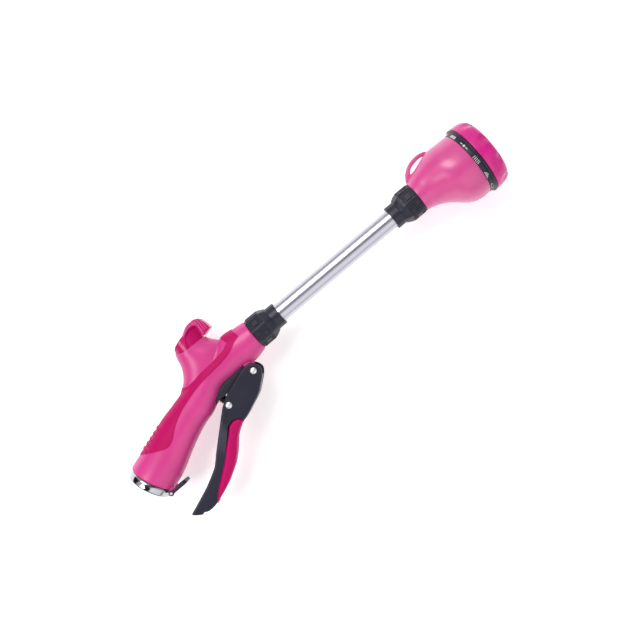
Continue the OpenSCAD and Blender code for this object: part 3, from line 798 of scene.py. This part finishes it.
def make_knob_solid():
    """The whole knob, softened: its side outline crossed with its plan."""
    solid = tool(*prism(round_corners(KNOB, KNOB_ROUND, 6), 20))
    plan = knob_plan()
    verts = [(x, y, -z) for y in (55, 90) for x, z in plan]
    boolean(solid, [tool(verts, grid_faces(2, len(plan)))], "INTERSECT")
    remesh(solid, 0.32)
    return smooth_mesh(solid, 5)


def make_knob_skin(solid):
    """A thin skin over the tab, above the hollows."""
    skin = remesh(grown_copy(solid, 0.3), 0.3)
    floor = remesh(grown_copy(solid, -0.4), 0.35)
    boolean(skin, [tool(*prism(curve_through(SCOOP_RIM, 5) + TAB_REST, 20))], "INTERSECT")
    return boolean(skin, [floor])


def cut_knob(solid):
    """Cuts a shallow hollow in each side, and the bores of the spindle and the screw."""
    scoop = tool(*prism(curve_through(SCOOP, 5), 20))
    boolean(scoop, [remesh(grown_copy(solid, -1.1), 0.35)])
    return boolean(solid, [scoop,
                           cylinder((KNOB_X, 50, 0), (0, 1, 0), 5.4, 13.4, 64),
                           cylinder((KNOB_X, 73, 0), (0, 1, 0), 3.2, 8, 48)])


knob = make_knob_solid()
knob_skin = make_knob_skin(knob)
knob_skin.name = "thumb_knob_skin"
# the knob's skin is drawn in the glossier pink, whose lighter base colour is painted light
dress(knob_skin, "pink_body", "flow_knob", sharp=30, look="pink_gloss_painted_light")
merge_pieces("thumb_knob_ribs", [tab_rib(x, top) for x, top in TAB_RIBS], "pink_body", "flow_knob")
cut_knob(knob)
knob.name = "thumb_knob_body"
dress(knob, "magenta_gloss", "flow_knob", "thumb_knob", sharp=40)

# ---------------------------------------------------------------- trigger
# outline of the lever, and the inner edge of its coloured grip
LEVER = [(134.5, 16.4), (133.8, 13.8), (130, 9), (125.2, 5.3), (120.3, 1.2), (114.4, -1.6), (108, -4.1),
         (101.8, -6.8), (96.3, -8.4), (91.5, -9.6), (83.2, -15), (75, -24.2), (67.6, -30.8), (61, -34.9),
         (52.9, -39.5), (44.7, -42.9), (36.5, -45.7), (31.6, -46.8), (25.8, -46.8), (22.5, -44.7),
         (20.9, -45.8), (17.6, -43.9), (12.7, -39.8), (20, -37.3), (28.3, -34), (36.5, -30.8), (44.7, -26.7),
         (52.9, -22.1), (61.1, -14), (69.3, -6.6), (77.5, 0.4), (84, 6.2), (89.5, 11.1), (96.9, 15.8),
         (102, 17.7), (110.3, 20.7), (118, 23.4), (124, 25.0), (129, 24.8), (132.6, 21.6)]
NOTCH = (19, 20)         # the two points of the lever's latch notch, kept crisp
GRIP = [(35.4, -47), (38.4, -42.6), (42.1, -39.1), (51.7, -31.6), (61.3, -24.2), (71.2, -15), (78.8, -8.1),
        (81.8, -4.8), (84.6, -3.1), (87.6, -2.3), (90.6, -2.5), (93.4, -3.8), (95.4, -5.8), (96.4, -8)]
# room between the cheeks for the handle
WELL = [(145, 11), (131, 10.8), (124, 7.6), (113.5, 1.2), (101, -3.4), (88, -6), (80, -3), (84, 12),
        (100, 32), (145, 32)]
CHEEK_HALF = 10.6        # half of the lever's width at the cheeks
TAIL_HALF = 7.3          # and along the tail
FINE = 0.42              # voxel size of the lever and its grip


def half_width(x):
    """Half of the lever's width: full at the cheeks, narrower along the tail."""
    t = min(max((x - 62) / 22, 0), 1)
    return TAIL_HALF + (CHEEK_HALF - TAIL_HALF) * t * t * (3 - 2 * t)


def lever_curve():
    return round_corners(LEVER, [0.6 if i in NOTCH else 2.5 for i in range(len(LEVER))], 4)


def edge_distance(points, outline):
    """Distance of each XY point from the outline."""
    a = np.array(outline)
    b = np.roll(a, -1, axis=0)
    best = np.full(len(points), 1e9)
    for p, q in zip(a, b):
        d = q - p
        t = np.clip(((points - p) @ d) / max(d @ d, 1e-9), 0, 1)
        best = np.minimum(best, np.hypot(*(points - p - t[:, None] * d).T))
    return best


def rounded_plate(outline, half, rounding, half_at=None):
    """A plate with a full round along its edges; half_at(x) narrows it."""
    plate = remesh(tool(*prism(outline, half)), FINE)
    co = np.array([v.co for v in plate.data.vertices]) / MM
    inside = np.clip(edge_distance(co[:, :2], outline), 0, rounding)
    drop = rounding - np.sqrt(np.maximum(rounding ** 2 - (rounding - inside) ** 2, 0))
    limit = np.array([half_at(x) for x in co[:, 0]]) if half_at else np.full(len(co), half)
    z = co[:, 2] * limit / half
    co[:, 2] = np.sign(z) * np.minimum(np.abs(z), limit - drop)
    for v, p in zip(plate.data.vertices, co):
        v.co = Vector(p) * MM
    remesh(plate, FINE)
    return smooth_mesh(plate, 3)


def beyond_grip():
    """Everything on the outer side of the grip's inner edge."""
    return tool(*prism(curve_through(GRIP, 5) + [(97.5, -20), (60, -70), (30, -60)], 30))


def make_lever():
    body = rounded_plate(lever_curve(), CHEEK_HALF, 1.3, half_width)
    cuts = [tool(*prism(round_corners(WELL, 1.5), 8.6)), beyond_grip(),
            cylinder((*PIVOT, -30), (0, 0, 1), 2.3, 60),
            cylinder((*PUSH, -30), (0, 0, 1), 2.0, 60)]
    return boolean(body, cuts)


lever = make_lever()
lever.name = "trigger_lever_body"
dress(lever, "black_plastic", "trigger", "trigger_lever", sharp=32)


def below_grip(x, y):
    """True on the outer side of the grip's inner edge."""
    for (xa, ya), (xb, yb) in zip(GRIP, GRIP[1:]):
        if xa <= x <= xb:
            return y < ya + (yb - ya) * (x - xa) / (xb - xa) - 0.3
    return False


def make_grip():
    """The coloured overmould: a crowned bar along the outer edge of the trigger."""
    outer = [(x, y) for x, y in lever_curve() if x > 36 and y < -8.6 and below_grip(x, y)]
    outline = curve_through(GRIP, 5) + sorted(outer, key=lambda p: -p[0])
    return rounded_plate(outline, 9.4, 3.0)


grip = make_grip()
grip.name = "trigger_grip_pad"
dress(grip, "magenta_soft", "trigger", "trigger_grip", sharp=40)


def rivet(name, at, body, node):
    """A rivet across the lever, with a domed head on each cheek."""
    half = CHEEK_HALF + 0.05
    profile = fillet([(-half - 1.0, 0.02), (-half - 0.9, 1.5), (-half, 2.85), (-half + 0.1, 2.0),
                      (half - 0.1, 2.0), (half, 2.85), (half + 0.9, 1.5), (half + 1.0, 0.02)],
                     [0, 0.8, 0.3, 0.05, 0.05, 0.3, 0.8, 0], 5)
    verts = [(at[0] + y, at[1] + z, x) for x, y, z in lathe_rows(profile, 48)]
    piece(name, verts, grid_faces(len(profile), 48), "rivet_steel", body, node, sharp=50)


rivet("pivot_rivet", PIVOT, "handle", "trigger_pivot_pin")
rivet("push_rivet", PUSH, "trigger", "push_pin")


# a bellows round the stem
BOOT_START, BOOT_END, FOLDS, FOLD_PITCH = 2.6, 11.7, 5, 1.7
folds = []
for k in range(FOLDS):
    folds += [(x + FOLD_PITCH * k, r) for x, r in ((3.2, 2.6), (3.9, 3.7), (4.5, 3.7))]
boot = fillet([(BOOT_START, 1.9), (BOOT_START, 2.6)] + folds + [(BOOT_END, 2.6), (BOOT_END, 1.9)], 0.25, 3)
verts = [(*on_valve(x, y), z) for x, y, z in lathe_rows(boot, 48)]
bellows = piece("stem_boot", verts, grid_faces(len(boot), 48, closed_rows=True), "seal_rubber", "plunger")
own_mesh(bellows)

# the closing spring behind the valve's seal; it bears on the end of its chamber
COIL_START, COIL_END = 31.9, 38.5
COIL_TURNS, COIL_PITCH, COIL_R, WIRE_R = 4, 1.5, 3.2, 0.45


def valve_coil():
    rows = []
    around, steps = 10, 28
    count = COIL_TURNS * steps
    for i in range(count + 1):
        a = 2 * math.pi * i / steps
        for j in range(around):
            b = 2 * math.pi * j / around
            out = COIL_R + WIRE_R * math.cos(b)
            along = COIL_START + COIL_PITCH * i / steps + WIRE_R * math.sin(b)
            rows.append((*on_valve(along, out * math.cos(a)), out * math.sin(a)))
    return rows, grid_faces(count + 1, around)


spring = piece("valve_coil", *valve_coil(), "spring_steel", "handle", "valve_spring")
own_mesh(spring)

# ---------------------------------------------------------------- latch loop
LATCH_LENGTH, LATCH_HALF = 14.0, 9.4


def make_latch():
    """A bail of flat bar: two arms and a cross bar with rounded corners."""
    arm = curve_through([(0, LATCH_HALF), (4, LATCH_HALF), (9, LATCH_HALF), (12.2, LATCH_HALF - 0.4),
                         (13.7, LATCH_HALF - 1.8), (LATCH_LENGTH, LATCH_HALF - 3.6), (LATCH_LENGTH, 0)], 5)
    path = arm + [(u, -w) for u, w in reversed(arm[:-1])]
    up = Vector((0, 1, 0))
    verts = []
    n = 20
    for i, (u, w) in enumerate(path):
        a, b = path[max(i - 1, 0)], path[min(i + 1, len(path) - 1)]
        side = up.cross(Vector((b[0] - a[0], 0, b[1] - a[1])).normalized())
        for j in range(n):
            c, s = superellipse(2 * math.pi * j / n, 3.0)
            q = Vector((LATCH[0] + u, LATCH[1], w)) + up * 1.45 * c + side * 1.05 * s
            verts.append(tuple(q))
    return verts, grid_faces(len(path), n)


piece("latch_bail", *make_latch(), "black_plastic", "latch", "latch_loop")
eye = fillet([(-1.1, 1.05), (-1.1, 2.3), (1.1, 2.3), (1.1, 1.05)], 0.35, 4)
for name, side in BOTH_SIDES:
    verts = [(LATCH[0] + y, LATCH[1] + z, LATCH_HALF * side + x) for x, y, z in lathe_rows(eye, 40)]
    piece("latch_eye_" + name, verts, grid_faces(len(eye), 40, closed_rows=True), "black_plastic", "latch")

# ---------------------------------------------------------------- carried-over CAD nodes
SLOT_OF = {s["node"]: s["material_slot"] for s in frame["record"]["subparts"]}
for node, obj in frame["nodes"].items():
    obj.data.materials.clear()
    obj.data.materials.append(MATS[SLOT_OF[node]])


# ---------------------------------------------------------------- floor
def floor_material():
    """Plain and pale, and lit a little from within, so that shadows on it stay faint."""
    mat = bpy.data.materials.new("pale_floor")
    mat.use_nodes = True
    tree = mat.node_tree
    bsdf = tree.nodes["Principled BSDF"]
    clouds = tree.nodes.new("ShaderNodeTexNoise")
    clouds.inputs["Scale"].default_value = 6
    ramp = tree.nodes.new("ShaderNodeValToRGB")
    ramp.color_ramp.elements[0].color = (0.88, 0.88, 0.88, 1)
    ramp.color_ramp.elements[1].color = (0.90, 0.90, 0.90, 1)
    link(tree, clouds.outputs["Fac"], ramp.inputs["Fac"])
    link(tree, ramp.outputs["Color"], bsdf.inputs["Base Color"])
    bsdf.inputs["Roughness"].default_value = 0.9
    bsdf.inputs["Emission Color"].default_value = (1, 1, 1, 1)
    bsdf.inputs["Emission Strength"].default_value = 0.48
    return mat


low, high = cad_box
FLOOR_GAP = 0.0005       # the floor lies this far under the object, m
bpy.ops.mesh.primitive_plane_add(
    size=6, location=((low[0] + high[0]) / 2, (low[1] + high[1]) / 2, low[2] - FLOOR_GAP))
floor = bpy.context.object
floor.name = "floor"
floor.data.materials.append(floor_material())

# ---------------------------------------------------------------- light
world = bpy.data.worlds.new("studio")
bpy.context.scene.world = world
world.use_nodes = True
tree = world.node_tree
sky_coords = tree.nodes.new("ShaderNodeTexCoord")
split = tree.nodes.new("ShaderNodeSeparateXYZ")
link(tree, sky_coords.outputs["Generated"], split.inputs["Vector"])
across = tree.nodes.new("ShaderNodeMapRange")
across.inputs["From Min"].default_value = -1
link(tree, split.outputs["Y"], across.inputs["Value"])
# level of the surrounding panels, from the trigger's side of the room to the knob's side
LEVELS = [(-1.0, 0.62), (-0.80, 0.78), (-0.45, 0.95), (-0.24, 0.90), (-0.17, 0.18), (0.24, 0.18), (0.32, 1.0),
          (0.80, 0.95), (1.0, 0.6)]
bands = tree.nodes.new("ShaderNodeValToRGB")
stops = bands.color_ramp.elements
while len(stops) < len(LEVELS):
    stops.new(0.5)
for stop, (y, level) in zip(stops, LEVELS):
    stop.position = (y + 1) / 2
for stop, (y, level) in zip(stops, LEVELS):
    stop.color = (level, level, level, 1)
link(tree, across.outputs["Result"], bands.inputs["Fac"])


def mask(source, start, end):
    """0 before start and 1 after end, along one component of the direction."""
    node = tree.nodes.new("ShaderNodeMapRange")
    node.inputs["From Min"].default_value = start
    node.inputs["From Max"].default_value = end
    link(tree, source, node.inputs["Value"])
    return node.outputs["Result"]


def dark_panel(sky, *masks):
    """The sky with a dark panel where all the masks are 1."""
    level = masks[0]
    for factor in masks[1:]:
        node = tree.nodes.new("ShaderNodeMath")
        node.operation = "MULTIPLY"
        link(tree, level, node.inputs[0])
        link(tree, factor, node.inputs[1])
        level = node.outputs["Value"]
    node = tree.nodes.new("ShaderNodeMix")
    node.data_type = "RGBA"
    link(tree, level, node.inputs["Factor"])
    link(tree, sky, node.inputs[6])
    node.inputs[7].default_value = (0.02, 0.02, 0.03, 1)
    return node.outputs[2]


# two dark panels low on the knob's side and one overhead, all behind the foot of the wand
x_part = split.outputs["X"]
y_part = split.outputs["Y"]
sky = dark_panel(bands.outputs["Color"], mask(y_part, 0.62, 0.67), mask(x_part, -0.12, -0.22))
sky = dark_panel(sky, mask(y_part, 0.44, 0.50), mask(x_part, -0.66, -0.70))
sky = dark_panel(sky, mask(y_part, -0.40, -0.34), mask(y_part, 0.22, 0.17), mask(x_part, -0.145, -0.175),
                 mask(x_part, -0.85, -0.80))
link(tree, sky, tree.nodes["Background"].inputs["Color"])
tree.nodes["Background"].inputs["Strength"].default_value = 0.70

# past the floor's edge the camera sees a plain pale backdrop; the panels only give light and reflections
backdrop = tree.nodes.new("ShaderNodeBackground")
backdrop.inputs["Color"].default_value = (1, 1, 1, 1)
backdrop.inputs["Strength"].default_value = 0.95
ray = tree.nodes.new("ShaderNodeLightPath")
choice = tree.nodes.new("ShaderNodeMixShader")
link(tree, ray.outputs["Is Camera Ray"], choice.inputs[0])
link(tree, tree.nodes["Background"].outputs["Background"], choice.inputs[1])
link(tree, backdrop.outputs["Background"], choice.inputs[2])
link(tree, choice.outputs["Shader"], tree.nodes["World Output"].inputs["Surface"])


def area(name, at, aim, size, power):
    """A square area light; places and size in metres, power in watts."""
    light = bpy.data.lights.new(name, "AREA")
    light.energy = power
    light.size = size
    obj = bpy.data.objects.new(name, light)
    obj.location = at
    obj.rotation_euler = (Vector(aim) - Vector(at)).to_track_quat("-Z", "Y").to_euler()
    bpy.context.scene.collection.objects.link(obj)


MIDDLE = (0.19, 0.02, 0)
area("key", (0.17, 0.50, 0.68), MIDDLE, 0.42, 3.7)
area("fill", (0.22, -0.70, 0.60), MIDDLE, 1.0, 2.2)
area("knob_light", (-0.29, 0.11, 0.46), (0.1, 0.06, 0), 0.2, 1.1)

# ---------------------------------------------------------------- camera
# the camera looks straight down on the wand, turned so that the tube climbs to the upper right
TURN = math.radians(40.1)
VIEW_CENTRE = (194.9, 16.5)
EYE_FORWARD = 26.0       # the eye stands this much nearer the head than the view's centre, mm
EYE_HEIGHT = 712.0
FRAME_WIDTH = 521.52     # width of the view at the wand, mm
SENSOR = 36
camera_data = bpy.data.cameras.new("camera")
camera_data.sensor_width = SENSOR
camera_data.lens = SENSOR * EYE_HEIGHT / FRAME_WIDTH
camera_data.shift_x = -EYE_FORWARD * math.cos(TURN) / FRAME_WIDTH
camera_data.shift_y = -EYE_FORWARD * math.sin(TURN) / FRAME_WIDTH
camera = bpy.data.objects.new("camera", camera_data)
camera.location = ((VIEW_CENTRE[0] + EYE_FORWARD) * MM, VIEW_CENTRE[1] * MM, EYE_HEIGHT * MM)
camera.rotation_euler = (0, 0, -TURN)
bpy.context.scene.collection.objects.link(camera)
bpy.context.scene.camera = camera
bpy.context.scene.view_settings.view_transform = "Standard"
